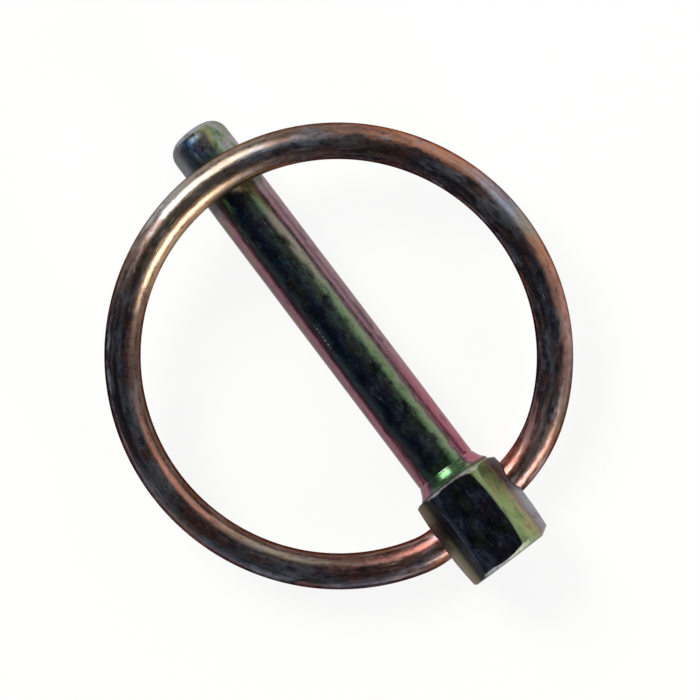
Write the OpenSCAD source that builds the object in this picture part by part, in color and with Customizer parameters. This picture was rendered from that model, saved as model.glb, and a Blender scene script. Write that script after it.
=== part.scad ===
/* [Shank] */
// Diameter of the shank
shank_d = 6; // [5:0.1:7]
// Length of the shank, from the shoulder under the head to the tip
shank_l = 41; // [38:0.5:46]
// Length of the slight lead-in taper that ends at the tip
lead_l = 7.8; // [6:0.1:8.5]
// Diameter that the lead-in taper takes off the tip
lead_drop = 0.12; // [0.06:0.02:0.2]
// Radius of the rounded edge of the tip
tip_edge_r = 1.6; // [1:0.1:2]
// Length of the flare where the shank grows into the shoulder
flare_l = 1.7; // [1:0.1:2.2]
// Share of the step up to the head's end face that the flare takes
flare_share = 0.94; // [0.5:0.02:0.98]

/* [Head] */
// Width of the hexagon head across its flats
head_af = 8; // [7.8:0.1:9.5]
// Length of the head
head_l = 9; // [8.5:0.1:10.5]
// Share of the sharp width across corners that is left where the corners are rubbed round
corner_share = 0.984; // [0.95:0.002:0.996]
// Share of the width across flats that is left on each end face by the turned chamfer
face_share = 0.95; // [0.92:0.01:0.97]
// Slope of the turned chamfers on the head's ends, in degrees
chamfer_slope = 32; // [25:1:40]

/* [Cross bore] */
// Distance of the cross bore's middle from the shoulder
bore_back = 3.4; // [3.2:0.1:4.5]
// Drop of the cross bore's middle below the pin's axis
bore_drop = 1.2; // [0:0.1:1.4]
// Clearance all round the wire in the cross bore
bore_clear = 0.05; // [0.03:0.01:0.08]
// Skew of the cross bore along the head, in degrees
bore_skew = 6.5; // [4:0.5:8]
// Turn of the cross bore about the pin, away from the head's corners, in degrees
bore_turn = 2; // [0:0.5:4]

/* [Ring] */
// Diameter of the spring wire
wire_d = 3.4; // [3:0.1:3.6]
// Inside diameter of the ring
ring_id = 36.8; // [35:0.2:38]
// Sideways shift of the ring's middle along the cross bore
ring_shift = 0.65; // [0:0.05:0.8]
// Centre line radius of the bends that turn the wire into the cross bore
bend_r = 3; // [2.5:0.1:4]
// Straight wire left between the head's corner and the nearer bend
bend_gap = 0.2; // [0.1:0.05:0.4]
// Space between the wire's two ends inside the cross bore
end_gap = 2; // [1:0.1:3]
// Room between the closed ring and the shank that it snaps down on
rest_gap = 0.15; // [0.1:0.01:0.3]

/* [Hidden] */
$fn = 96;

pin_colour = [0.44, 0.46, 0.36];
ring_colour = [0.58, 0.44, 0.34];

// Cuts run this far past the faces they open
overrun = head_af;

// The wire's bends are rounded up to this many degrees
angle_step = 0.01;

// Moves along the wire are split into round steps of this size and a small rest
fine_step = 0.01;

// The head's chamfers are turned from a start between a corner and a flat, in degrees
chamfer_start = 15;

shank_r = shank_d / 2;
tip_r = shank_r - lead_drop / 2;
wire_r = wire_d / 2;

// The head: half widths across flats, sharp corners and rubbed corners, and the end face inside the chamfer
flat_r = head_af / 2;
corner_r = flat_r / cos(30);
round_corner_r = corner_r * corner_share;
face_r = flat_r * face_share;
chamfer_l = (round_corner_r - face_r) * tan(chamfer_slope);
flat_chamfer_l = (flat_r - face_r) * tan(chamfer_slope);

// The flare is an arc that leaves the shank smoothly and meets the end face at its foot
flare_rise = flare_share * (face_r - shank_r);
flare_r = (pow(flare_l, 2) + pow(flare_rise, 2)) / (2 * flare_rise);

// The ring in its own plane: the cross bore lies along X, the ring's middle lies along Y
ring_r = ring_id / 2 + wire_r;
bend_offset = ring_r - bend_r;
least_bend_angle = asin((corner_r + bend_gap + ring_shift) / bend_offset);
bend_angle = ceil(least_bend_angle / angle_step) * angle_step;
bend_reach = bend_offset * sin(bend_angle);
ring_y = bend_r + bend_offset * cos(bend_angle);

// Where the ring crosses the shank, measured from the cross bore, and the slope that seats it there
skew_rise = tan(bore_skew);
cross_scale = 1 + pow(skew_rise, 2);
cross_sum = skew_rise * ring_shift + ring_y;
cross_rest = pow(ring_shift, 2) + pow(ring_y, 2) - pow(ring_r, 2);
cross_y = (cross_sum + sqrt(pow(cross_sum, 2) - cross_scale * cross_rest)) / cross_scale;
closed_slope = asin((bore_drop + shank_r + wire_r + rest_gap) / cross_y);

// Lying down, the pin touches at the head's lower flat and at the tip's rounded edge
tip_edge_x = shank_l - tip_edge_r;
rest_run = tip_edge_x + flat_chamfer_l;
rest_drop = flat_r - (tip_r - tip_edge_r);
rest_tilt = atan2(rest_drop, rest_run) - asin(tip_edge_r / norm([rest_run, rest_drop]));

// The origin is on the pin's axis, in the middle of the straight grip
grip_mid = (flare_l + shank_l - lead_l) / 2;

// Puts what is built along X, with the shoulder at zero, into its lying place
module lie_down() {
    rotate([0, rest_tilt, 0])
        translate([-grip_mid, 0, 0])
            children();
}

// Puts what is built along the cross bore's own X axis into the head
module in_cross_bore() {
    translate([-bore_back, 0, 0])
        rotate([-bore_turn, 0, 0])
            translate([0, 0, -bore_drop])
                rotate([0, 0, bore_skew - 90])
                    children();
}

// Moves in a round step and a small rest, so that the wire's pieces meet without a gap
module fine_shift(move) {
    round_move = [for (part = move) round(part / fine_step) * fine_step];
    translate(round_move)
        translate(move - round_move)
            children();
}

// Turns a half section, drawn with the pin's axis along Y, about the pin's axis
module turned_about_pin() {
    rotate([90, 0, 90])
        rotate_extrude()
            children();
}

// Hexagon bar with a flat facing up, rubbed corners and turned chamfers on both ends
module head() {
    intersection() {
        rotate([0, -90, 0])
            rotate([0, 0, 30])
                cylinder(h = head_l, r = corner_r, $fn = 6);
        rotate([chamfer_start, 0, 0])
            turned_about_pin()
                polygon([
                    [0, 0],
                    [face_r, 0],
                    [round_corner_r, -chamfer_l],
                    [round_corner_r, chamfer_l - head_l],
                    [face_r, -head_l],
                    [0, -head_l],
                ]);
    }
}

// Arc that joins the shank to the shoulder
module flare() {
    turned_about_pin()
        difference() {
            square([shank_r + flare_r, flare_l]);
            translate([shank_r + flare_r, flare_l])
                circle(r = flare_r);
        }
}

// Straight grip, lead-in taper and rounded tip
module shank() {
    rotate([0, 90, 0])
        cylinder(h = shank_l - lead_l, r = shank_r);
    translate([shank_l - lead_l, 0, 0])
        rotate([0, 90, 0])
            cylinder(h = lead_l - tip_edge_r, r1 = shank_r, r2 = tip_r);
    translate([tip_edge_x, 0, 0])
        turned_about_pin() {
            square([tip_r - tip_edge_r, tip_edge_r]);
            intersection() {
                translate([tip_r - tip_edge_r, 0])
                    circle(r = tip_edge_r);
                square([tip_r, tip_edge_r]);
            }
        }
}

// Head and shank in one piece, drilled across the corners for the ring
module pin() {
    color(pin_colour)
        lie_down()
            difference() {
                union() {
                    head();
                    flare();
                    shank();
                }
                in_cross_bore()
                    rotate([0, 90, 0])
                        cylinder(h = head_af + overrun, r = wire_r + bore_clear, center = true);
            }
}

// Round wire bent about the origin, from one angle on through a sweep
module bent_wire(radius, from, sweep) {
    rotate_extrude(start = from, angle = sweep)
        translate([radius, 0])
            circle(r = wire_r);
}

// Bend and straight end that turns in the cross bore, on the side that the sign gives
module wire_end(side) {
    straight_l = bend_reach + side * ring_shift - end_gap / 2;
    fine_shift([side * bend_reach, bend_r - ring_y, 0]) {
        bent_wire(bend_r, side > 0 ? -90 : -90 - bend_angle, bend_angle);
        translate([0, -bend_r, 0])
            rotate([0, -90 * side, 0])
                cylinder(h = straight_l, r = wire_r);
    }
}

// Sprung ring of one wire, closed down on the shank
module ring() {
    color(ring_colour)
        lie_down()
            in_cross_bore()
                rotate([closed_slope, 0, 0])
                    translate([ring_shift, ring_y, 0]) {
                        bent_wire(ring_r, bend_angle - 90, 360 - 2 * bend_angle);
                        for (side = [-1, 1])
                            wire_end(side);
                    }
}

pin();
ring();
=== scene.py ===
"""Lynch pin: a turned hexagon-headed pin and its sprung wire ring, yellow-passivated and scuffed, on a pale floor."""

import logging
import math
from collections.abc import Callable, Iterable, Mapping, Sequence
from dataclasses import dataclass
from enum import Enum
from typing import Any

import bpy
from mathutils import Matrix, Vector


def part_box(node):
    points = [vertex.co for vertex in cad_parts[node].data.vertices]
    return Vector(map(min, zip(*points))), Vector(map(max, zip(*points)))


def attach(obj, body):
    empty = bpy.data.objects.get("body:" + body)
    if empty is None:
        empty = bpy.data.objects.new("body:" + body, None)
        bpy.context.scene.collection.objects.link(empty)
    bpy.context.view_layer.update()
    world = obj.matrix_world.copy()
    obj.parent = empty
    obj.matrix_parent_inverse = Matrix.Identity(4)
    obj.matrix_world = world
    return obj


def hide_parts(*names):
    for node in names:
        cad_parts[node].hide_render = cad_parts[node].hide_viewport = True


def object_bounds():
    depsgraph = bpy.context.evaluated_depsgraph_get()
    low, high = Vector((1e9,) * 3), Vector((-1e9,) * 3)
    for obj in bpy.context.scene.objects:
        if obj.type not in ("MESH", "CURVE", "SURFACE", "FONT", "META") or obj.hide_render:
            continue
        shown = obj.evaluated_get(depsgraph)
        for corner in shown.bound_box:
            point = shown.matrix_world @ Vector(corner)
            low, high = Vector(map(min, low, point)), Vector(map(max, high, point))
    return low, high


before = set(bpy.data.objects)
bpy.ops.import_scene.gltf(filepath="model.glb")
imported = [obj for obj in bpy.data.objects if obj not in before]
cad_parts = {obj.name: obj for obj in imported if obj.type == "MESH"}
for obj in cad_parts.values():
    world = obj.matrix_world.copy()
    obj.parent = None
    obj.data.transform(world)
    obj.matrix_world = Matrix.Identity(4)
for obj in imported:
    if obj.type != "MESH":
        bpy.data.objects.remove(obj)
CAD_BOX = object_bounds()

LOG = logging.getLogger("lynch_pin")
MM = 0.001
NOISE_MIDDLE = 0.5
QUARTER_TURN = math.pi / 2
WHITE = (1.0, 1.0, 1.0, 1.0)

Colour = tuple[float, float, float]
Triple = tuple[float, float, float]
Span = tuple[float, float]
Station = tuple[float, float]
Stops = tuple[tuple[float, Colour], ...]


class Cut(Enum):
    """How one solid works on another."""

    KEEP_COMMON = "INTERSECT"
    TAKE_AWAY = "DIFFERENCE"
    JOIN = "UNION"


class Slope(Enum):
    """How a value goes from its start to its end."""

    SOFT = "SMOOTHSTEP"
    STRAIGHT = "LINEAR"


class Blend(Enum):
    """How a coat lies on what is below it."""

    COVER = "MIX"
    STAIN = "MULTIPLY"


class Lamp(Enum):
    """The soft boxes round the table, by where they stand."""

    TIP_SIDE = "tip_side"
    HEAD_SIDE = "head_side"
    NARROW_SIDE = "narrow_side"


class Tone(Enum):
    """Colours of the worn film, some of them used as painted highlights, a painted glint and painted shade: on the
    wire, then on the pin, then on both.
    """

    # Pale, for painted highlights on the wire.
    PALE_HIGHLIGHT = (0.46, 0.47, 0.49)
    STRAW = (0.34, 0.28, 0.21)
    GOLD = (0.48, 0.32, 0.19)
    ROSE = (0.42, 0.24, 0.20)
    COPPER = (0.45, 0.20, 0.12)
    # Orange of a painted highlight line along the wire's inner side.
    FLAME_HIGHLIGHT = (0.50, 0.215, 0.155)
    BROWN = (0.19, 0.125, 0.095)
    RUST = (0.20, 0.090, 0.078)
    SLATE = (0.30, 0.34, 0.43)
    NAVY = (0.10, 0.115, 0.17)
    INK = (0.034, 0.032, 0.044)
    SCUFF = (0.62, 0.52, 0.49)
    # Painted shade on the wire's inner edge.
    INNER_RIM_SHADE = (0.125, 0.060, 0.038)
    HEAD_WARMTH = (1.0, 0.75, 0.70)

    NECK_PINK = (0.40, 0.13, 0.17)
    NECK_GREEN = (0.07, 0.17, 0.06)
    FACE_GREEN = (0.27, 0.34, 0.16)
    FACE_GOLD = (0.38, 0.33, 0.15)
    FLANK_OLIVE = (0.19, 0.16, 0.10)
    # Painted highlight along the head flat's long edge.
    EDGE_HIGHLIGHT_BLUE = (0.24, 0.33, 0.44)
    TIP_GREEN = (0.19, 0.27, 0.15)
    TIP_LILAC = (0.33, 0.32, 0.33)
    TIP_TEAL = (0.13, 0.165, 0.18)
    TIP_OLIVE = (0.33, 0.33, 0.09)
    # Rubbed rim round the tip, also a painted highlight.
    TIP_RIM_RUB_AND_HIGHLIGHT = (0.34, 0.35, 0.38)
    TIP_BEIGE = (0.31, 0.24, 0.22)
    # Painted glint: a small bright green streak on the shank beside the ring.
    PAINTED_GLINT_GREEN = (0.22, 0.62, 0.28)
    VIOLET = (0.085, 0.055, 0.110)
    OLIVE = (0.095, 0.105, 0.060)
    SKY = (0.150, 0.200, 0.300)

    BARE_ZINC = (0.62, 0.63, 0.60)
    # Near black: dark blots, the darker bore and flare's foot, and painted shade under the ring.
    GRIME_AND_SHADE = (0.022, 0.022, 0.028)


class Read(Enum):
    """What a coat looks at to find its place on a piece."""

    ALONG = "along the pin from its shoulder, in mm"
    ACROSS = "across the pin to its wide side, in mm"
    ABOVE = "above the section's middle, in mm"
    TURN = "share of the way round the ring"
    FROM_TIP = "angle along the ring from the shank"
    SIDE = "zero on top, one at the side"
    FILM = "side, stirred as on the shank"
    FACE = "side, stirred as on the head"
    WAVY = "wire's inner side to its outer, stirred"
    WIDE = "wide side of the pin"
    NARROW = "narrow side of the pin"
    TOP = "top of shank and head"
    OFF_FLAT = "head off its top flat"
    HEAD_FLANK = "flanks of the head alone"
    NEAR_HEAD = "ring beside the head"
    CALM = "where the ring is mottled most"
    BLOT = "middling noise"
    GRAIN = "fine noise"
    TINT = "broad noise"
    TINT_BLOT = "broad and middling noise"
    PATCH = "long noise"
    STREAK = "noise drawn out along the wire"
    TURNED = "tool marks"
    FACED = "tool marks on the end faces"
    MARKS = "fine scratches"
    NICKS = "row of nicks"
    LONG_EDGE = "long edges of the top flat"
    # Rubbed edges, which also carry a painted highlight on top.
    RUB_AND_HIGHLIGHT = "rubbed edges"
    # Darker in the cross bore and at the flare's foot.
    DARKENED_HOLLOWS = "corners where dirt stays"

    def let_in(self, sheet: "Sheet", reads: "Reads") -> "Shade":
        """Lets a coat in by the reading as it is."""
        return reads[self]


Stretches = tuple[tuple[float, Tone], ...]


@dataclass(frozen=True)
class Cloud:
    """A cloudy noise: waves to the millimetre along each axis, finer layers and their strength."""

    stretch: Triple
    detail: float = 3.0
    rough: float = 0.55


@dataclass(frozen=True)
class Step:
    """Lets a coat in as a reading goes from one value to another, on a soft or a straight slope."""

    read: Read
    start: float
    end: float
    low: float = 0.0
    high: float = 1.0
    slope: Slope = Slope.SOFT

    def let_in(self, sheet: "Sheet", reads: "Reads") -> "Shade":
        """Lets a coat in by the eased reading."""
        return sheet.ease(reads[self.read], self.start, self.end, self.low, self.high, self.slope)


Gate = Step | Read
Weights = tuple[tuple[Gate, float], ...]


@dataclass(frozen=True)
class Coat:
    """One coat of colour over those below it: its strength, where it lies, and a second tone with the step to it."""

    tone: Tone
    share: float
    where: tuple[Gate, ...]
    second: tuple[Tone, Step] | None = None
    blend: Blend = Blend.COVER


class Shade:
    """A shader socket in use: sums on it add Math nodes to its sheet."""

    def __init__(self, sheet: "Sheet", socket: bpy.types.NodeSocket) -> None:
        """Keeps the socket and the sheet that it belongs to."""
        self.sheet = sheet
        self.socket = socket

    def __add__(self, other: "Shade | float") -> "Shade":
        """Sum."""
        return self.sheet.math("ADD", self, other)

    def __radd__(self, other: float) -> "Shade":
        """Sum with a number on the left."""
        return self.sheet.math("ADD", other, self)

    def __sub__(self, other: "Shade | float") -> "Shade":
        """Difference."""
        return self.sheet.math("SUBTRACT", self, other)

    def __rsub__(self, other: float) -> "Shade":
        """Difference from a number."""
        return self.sheet.math("SUBTRACT", other, self)

    def __mul__(self, other: "Shade | float") -> "Shade":
        """Product."""
        return self.sheet.math("MULTIPLY", self, other)

    def __rmul__(self, other: float) -> "Shade":
        """Product with a number on the left."""
        return self.sheet.math("MULTIPLY", other, self)

    def __truediv__(self, other: "Shade | float") -> "Shade":
        """Quotient."""
        return self.sheet.math("DIVIDE", self, other)

    def __abs__(self) -> "Shade":
        """Size without its sign."""
        return self.sheet.math("ABSOLUTE", self)


Reads = dict[Read, Shade]


class Made:
    """A node that was added, with its outputs by name."""

    def __init__(self, sheet: "Sheet", node: bpy.types.Node) -> None:
        """Keeps the node and its sheet."""
        self.sheet = sheet
        self.node = node

    def __getitem__(self, name: str) -> Shade:
        """Output of that name or identifier."""
        return Shade(self.sheet, Sheet.find(self.node.outputs, name))


class Sheet:
    """The node tree of one material or of the world, filled node by node."""

    def __init__(self, tree: bpy.types.NodeTree) -> None:
        """Empties the tree that is to be filled."""
        self.tree = tree
        tree.nodes.clear()

    @staticmethod
    def find(sockets: Any, name: str) -> bpy.types.NodeSocket:
        """The socket of that identifier, or else the one in use that shows that name."""
        named = [s for s in sockets if s.identifier == name]
        return (named or [s for s in sockets if s.name == name and s.enabled])[0]

    def node(
        self, kind: str, settings: Mapping[str, Any] | None = None, sockets: Mapping[str, Any] | None = None
    ) -> Made:
        """Adds any node.

        Args:
            kind: Blender's type of the node.
            settings: Properties, set first; "stops" are the stops of a ramp.
            sockets: Values or links by socket name.

        Returns:
            The node with its outputs.
        """
        made = self.tree.nodes.new(kind)
        for key, value in (settings or {}).items():
            if key == "stops":
                self._set_stops(made.color_ramp, value)
            else:
                setattr(made, key, value)
        for key, value in (sockets or {}).items():
            socket = self.find(made.inputs, key)
            if isinstance(value, Shade):
                self.tree.links.new(value.socket, socket)
            else:
                socket.default_value = value
        return Made(self, made)

    @staticmethod
    def _set_stops(ramp: bpy.types.ColorRamp, stops: Sequence[tuple[float, Colour]]) -> None:
        """Gives a ramp its stops.

        Args:
            ramp: Colour ramp to change.
            stops: Places and colours, in order.
        """
        while len(ramp.elements) < len(stops):
            ramp.elements.new(1.0)
        for element, (place, colour) in zip(ramp.elements, stops):
            element.position = place
            element.color = (*colour, 1.0)

    def math(self, operation: str, *terms: Shade | float, clamp: bool = False) -> Shade:
        """One Math node on up to three terms, kept from zero to one if clamped."""
        sockets = dict(zip(("Value", "Value_001", "Value_002"), terms))
        return self.node("ShaderNodeMath", {"operation": operation, "use_clamp": clamp}, sockets)["Value"]

    def length(self, first: Shade, second: Shade) -> Shade:
        """Length of the long side over two sides at a right angle."""
        return self.math("SQRT", first * first + second * second)

    def ease(
        self, value: Shade, start: float, end: float, low: float = 0.0, high: float = 1.0, slope: Slope = Slope.SOFT
    ) -> Shade:
        """Eases from low to high as a value goes from start to end, on a soft or a straight slope."""
        sockets = {"Value": value, "From Min": start, "From Max": end, "To Min": low, "To Max": high}
        return self.node("ShaderNodeMapRange", {"interpolation_type": slope.value}, sockets)["Result"]

    def mix(
        self, share: Shade | float, below: Shade | Colour, above: Shade | Colour, blend: Blend = Blend.COVER
    ) -> Shade:
        """Mixes two colours.

        Args:
            share: Share of the second colour.
            below: First colour.
            above: Second colour.
            blend: How the second lies on the first.

        Returns:
            The mixed colour.
        """
        pair = [c if isinstance(c, Shade) else (*c, 1.0) for c in (below, above)]
        sockets = {"Factor_Float": share, "A_Color": pair[0], "B_Color": pair[1]}
        return self.node("ShaderNodeMix", {"data_type": "RGBA", "blend_type": blend.value}, sockets)["Result_Color"]

    def ramp(self, value: Shade, stops: Sequence[tuple[float, Colour]]) -> Shade:
        """Reads a colour off a row of stops."""
        return self.node("ShaderNodeValToRGB", {"stops": stops}, {"Fac": value})["Color"]

    def vector(self, operation: str, first: Shade, second: Shade | Triple) -> Shade:
        """Adds one Vector Math node with two vectors."""
        sockets = {"Vector": first, "Vector_001": second}
        return self.node("ShaderNodeVectorMath", {"operation": operation}, sockets)["Vector"]

    def axes(self, place: Shade) -> tuple[Shade, Shade, Shade]:
        """Takes a vector apart into X, Y and Z."""
        parts = self.node("ShaderNodeSeparateXYZ", None, {"Vector": place})
        return parts["X"], parts["Y"], parts["Z"]

    def moved(self, place: Shade, frame_place: Matrix) -> Shade:
        """Reads a place in another frame.

        Args:
            place: Place as a vector.
            frame_place: That other frame, in the frame of the place.

        Returns:
            The place in the other frame.
        """
        back = frame_place.inverted()
        sockets = {"Vector": place, "Location": back.to_translation(), "Rotation": back.to_euler()}
        return self.node("ShaderNodeMapping", {"vector_type": "POINT"}, sockets)["Vector"]

    def noise(self, place: Shade, cloud: Cloud) -> Shade:
        """Reads a cloudy noise.

        Args:
            place: Where it is read, in millimetres.
            cloud: The noise.

        Returns:
            The noise, from zero to one.
        """
        stretched = self.vector("MULTIPLY", place, cloud.stretch)
        sockets = {"Vector": stretched, "Scale": 1.0, "Detail": cloud.detail, "Roughness": cloud.rough}
        return self.node("ShaderNodeTexNoise", None, sockets)["Fac"]

    @staticmethod
    def stir(value: Shade | float, parts: Iterable[tuple[Shade, float]]) -> Shade:
        """Lets noises push a value up and down, each by its own reach."""
        return sum(((noise - NOISE_MIDDLE) * reach for noise, reach in parts), value)

    def lay(self, base: Shade, coats: Sequence[Coat], reads: Reads) -> Shade:
        """Lays coats of colour over a base, in order.

        Args:
            base: Colour below them.
            coats: The coats.
            reads: What they look at.

        Returns:
            The colour on top.
        """
        for coat in coats:
            mask = math.prod((gate.let_in(self, reads) for gate in coat.where), start=coat.share)
            tone = coat.tone.value
            if coat.second:
                tone = self.mix(coat.second[1].let_in(self, reads), tone, coat.second[0].value)
            base = self.mix(mask, base, tone, coat.blend)
        return base

    def total(self, reads: Reads, weights: Weights) -> Shade:
        """Adds readings up by their weights."""
        return sum(gate.let_in(self, reads) * weight for gate, weight in weights)


class Bench:
    """Operators as they are used by hand on the active object."""

    @staticmethod
    def clear() -> None:
        """Deselects everything."""
        bpy.ops.object.select_all(action="DESELECT")

    @staticmethod
    def hold(made: bpy.types.Object) -> None:
        """Selects one object alone and makes it the active one.

        Args:
            made: Object to hold.
        """
        Bench.clear()
        made.select_set(True)
        bpy.context.view_layer.objects.active = made

    @staticmethod
    def settle() -> None:
        """Applies the place of what is selected to its mesh."""
        bpy.ops.object.transform_apply(location=True, rotation=True, scale=True)

    @staticmethod
    def take(name: str) -> bpy.types.Object:
        """Names the object that was just added and applies its place.

        Args:
            name: Name of the object.

        Returns:
            The object.
        """
        made = bpy.context.active_object
        made.name = name
        Bench.settle()
        return made

    @staticmethod
    def edit(mode: str) -> None:
        """Goes into edit mode, to pick vertices, edges or faces."""
        bpy.ops.object.mode_set(mode="EDIT")
        bpy.ops.mesh.select_mode(type=mode)

    @staticmethod
    def leave() -> None:
        """Goes back to object mode."""
        bpy.ops.object.mode_set(mode="OBJECT")

    @staticmethod
    def pick_edges(made: bpy.types.Object, test: Callable[[Vector, Vector], bool]) -> None:
        """Selects the edges whose two ends pass a test, and nothing else.

        Args:
            made: Object in edit mode.
            test: Takes the two ends.
        """
        bpy.ops.mesh.select_all(action="DESELECT")
        Bench.leave()
        points = made.data.vertices
        for edge in made.data.edges:
            edge.select = test(*(points[i].co for i in edge.vertices))
        bpy.ops.object.mode_set(mode="EDIT")

    @staticmethod
    def work(made: bpy.types.Object, tool: bpy.types.Object, cut: Cut) -> None:
        """Cuts or joins one solid with another, which is used up."""
        Bench.modify(made, "BOOLEAN", operation=cut.value, object=tool, solver="EXACT")
        bpy.data.objects.remove(tool)

    @staticmethod
    def modify(made: bpy.types.Object, kind: str, **settings: Any) -> None:
        """Adds a modifier and applies it.

        Args:
            made: Object that is modified.
            kind: Blender's type of the modifier.
            settings: Its properties.
        """
        Bench.hold(made)
        modifier = made.modifiers.new(kind.lower(), kind)
        for key, value in settings.items():
            setattr(modifier, key, value)
        bpy.ops.object.modifier_apply(modifier=modifier.name)

    @staticmethod
    def weld(made: bpy.types.Object, gap: float) -> None:
        """Welds points that lie closer than a gap, so that no slivers stay.

        Args:
            made: Solid to clean.
            gap: Gap between two points.
        """
        Bench.hold(made)
        Bench.edit("VERT")
        bpy.ops.mesh.select_all(action="SELECT")
        bpy.ops.mesh.remove_doubles(threshold=gap)
        bpy.ops.mesh.dissolve_degenerate(threshold=gap)
        Bench.leave()

    @staticmethod
    def turned(name: str, stations: Sequence[Station], sides: int) -> bpy.types.Object:
        """Turns a closed body about X: a circle, drawn out and resized from station to station.

        Args:
            name: Name of the object.
            stations: Places along X with their radii, in order.
            sides: Steps round the body.

        Returns:
            The body.
        """
        Bench.clear()
        start, radius = stations[0]
        bpy.ops.mesh.primitive_circle_add(
            vertices=sides, radius=radius, fill_type="NGON", location=(start, 0, 0), rotation=(0, QUARTER_TURN, 0)
        )
        made = Bench.take(name)
        Bench.edit("FACE")
        bpy.ops.mesh.select_all(action="SELECT")
        for (x0, r0), (x1, r1) in zip(stations, stations[1:]):
            bpy.ops.mesh.extrude_region_move(TRANSFORM_OT_translate={"value": (x1 - x0, 0, 0)})
            bpy.ops.transform.resize(value=(1, r1 / r0, r1 / r0), center_override=(x1, 0, 0))
        bpy.ops.mesh.select_all(action="SELECT")
        bpy.ops.mesh.normals_make_consistent(inside=False)
        Bench.leave()
        return made

    @staticmethod
    def put(made: bpy.types.Object, place: Matrix, smooth_deg: float) -> None:
        """Puts a finished piece into the row frame, with its place in its mesh.

        Args:
            made: Piece in its own frame, in millimetres.
            place: Its own frame in the row frame, in millimetres.
            smooth_deg: Edges flatter than this are shaded smooth.
        """
        Bench.hold(made)
        made.matrix_world = Matrix.Scale(MM, 4) @ place
        Bench.settle()
        bpy.ops.object.shade_smooth_by_angle(angle=math.radians(smooth_deg))


@dataclass(frozen=True)
class Layout:
    """How the pin lies, and how the ring sits in its head. Lengths in millimetres, angles in degrees."""

    rest_tilt: float = 1.5353855
    grip_mid: float = 17.45
    bore_back: float = 3.4
    bore_drop: float = 1.2
    bore_turn: float = 2.0
    bore_skew: float = 6.5
    closed_slope: float = 8.9378206
    ring_shift: float = 0.65
    ring_y: float = 19.201119

    @staticmethod
    def turn(degrees: float, axis: str) -> Matrix:
        """Turn about one axis."""
        return Matrix.Rotation(math.radians(degrees), 4, axis)

    @property
    def pin(self) -> Matrix:
        """The pin's own frame, with X from the shoulder to the tip, in the row frame."""
        return self.turn(self.rest_tilt, "Y") @ Matrix.Translation((-self.grip_mid, 0, 0))

    @property
    def bore(self) -> Matrix:
        """The cross bore's frame, with X along the bore, in the pin's own frame."""
        dropped = self.turn(-self.bore_turn, "X") @ Matrix.Translation((0, 0, -self.bore_drop))
        return Matrix.Translation((-self.bore_back, 0, 0)) @ dropped @ self.turn(self.bore_skew - 90, "Z")

    @property
    def ring(self) -> Matrix:
        """The closed ring's frame, with its middle at zero, in the row frame."""
        closed = self.turn(self.closed_slope, "X") @ Matrix.Translation((self.ring_shift, self.ring_y, 0))
        return self.pin @ self.bore @ closed


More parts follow.
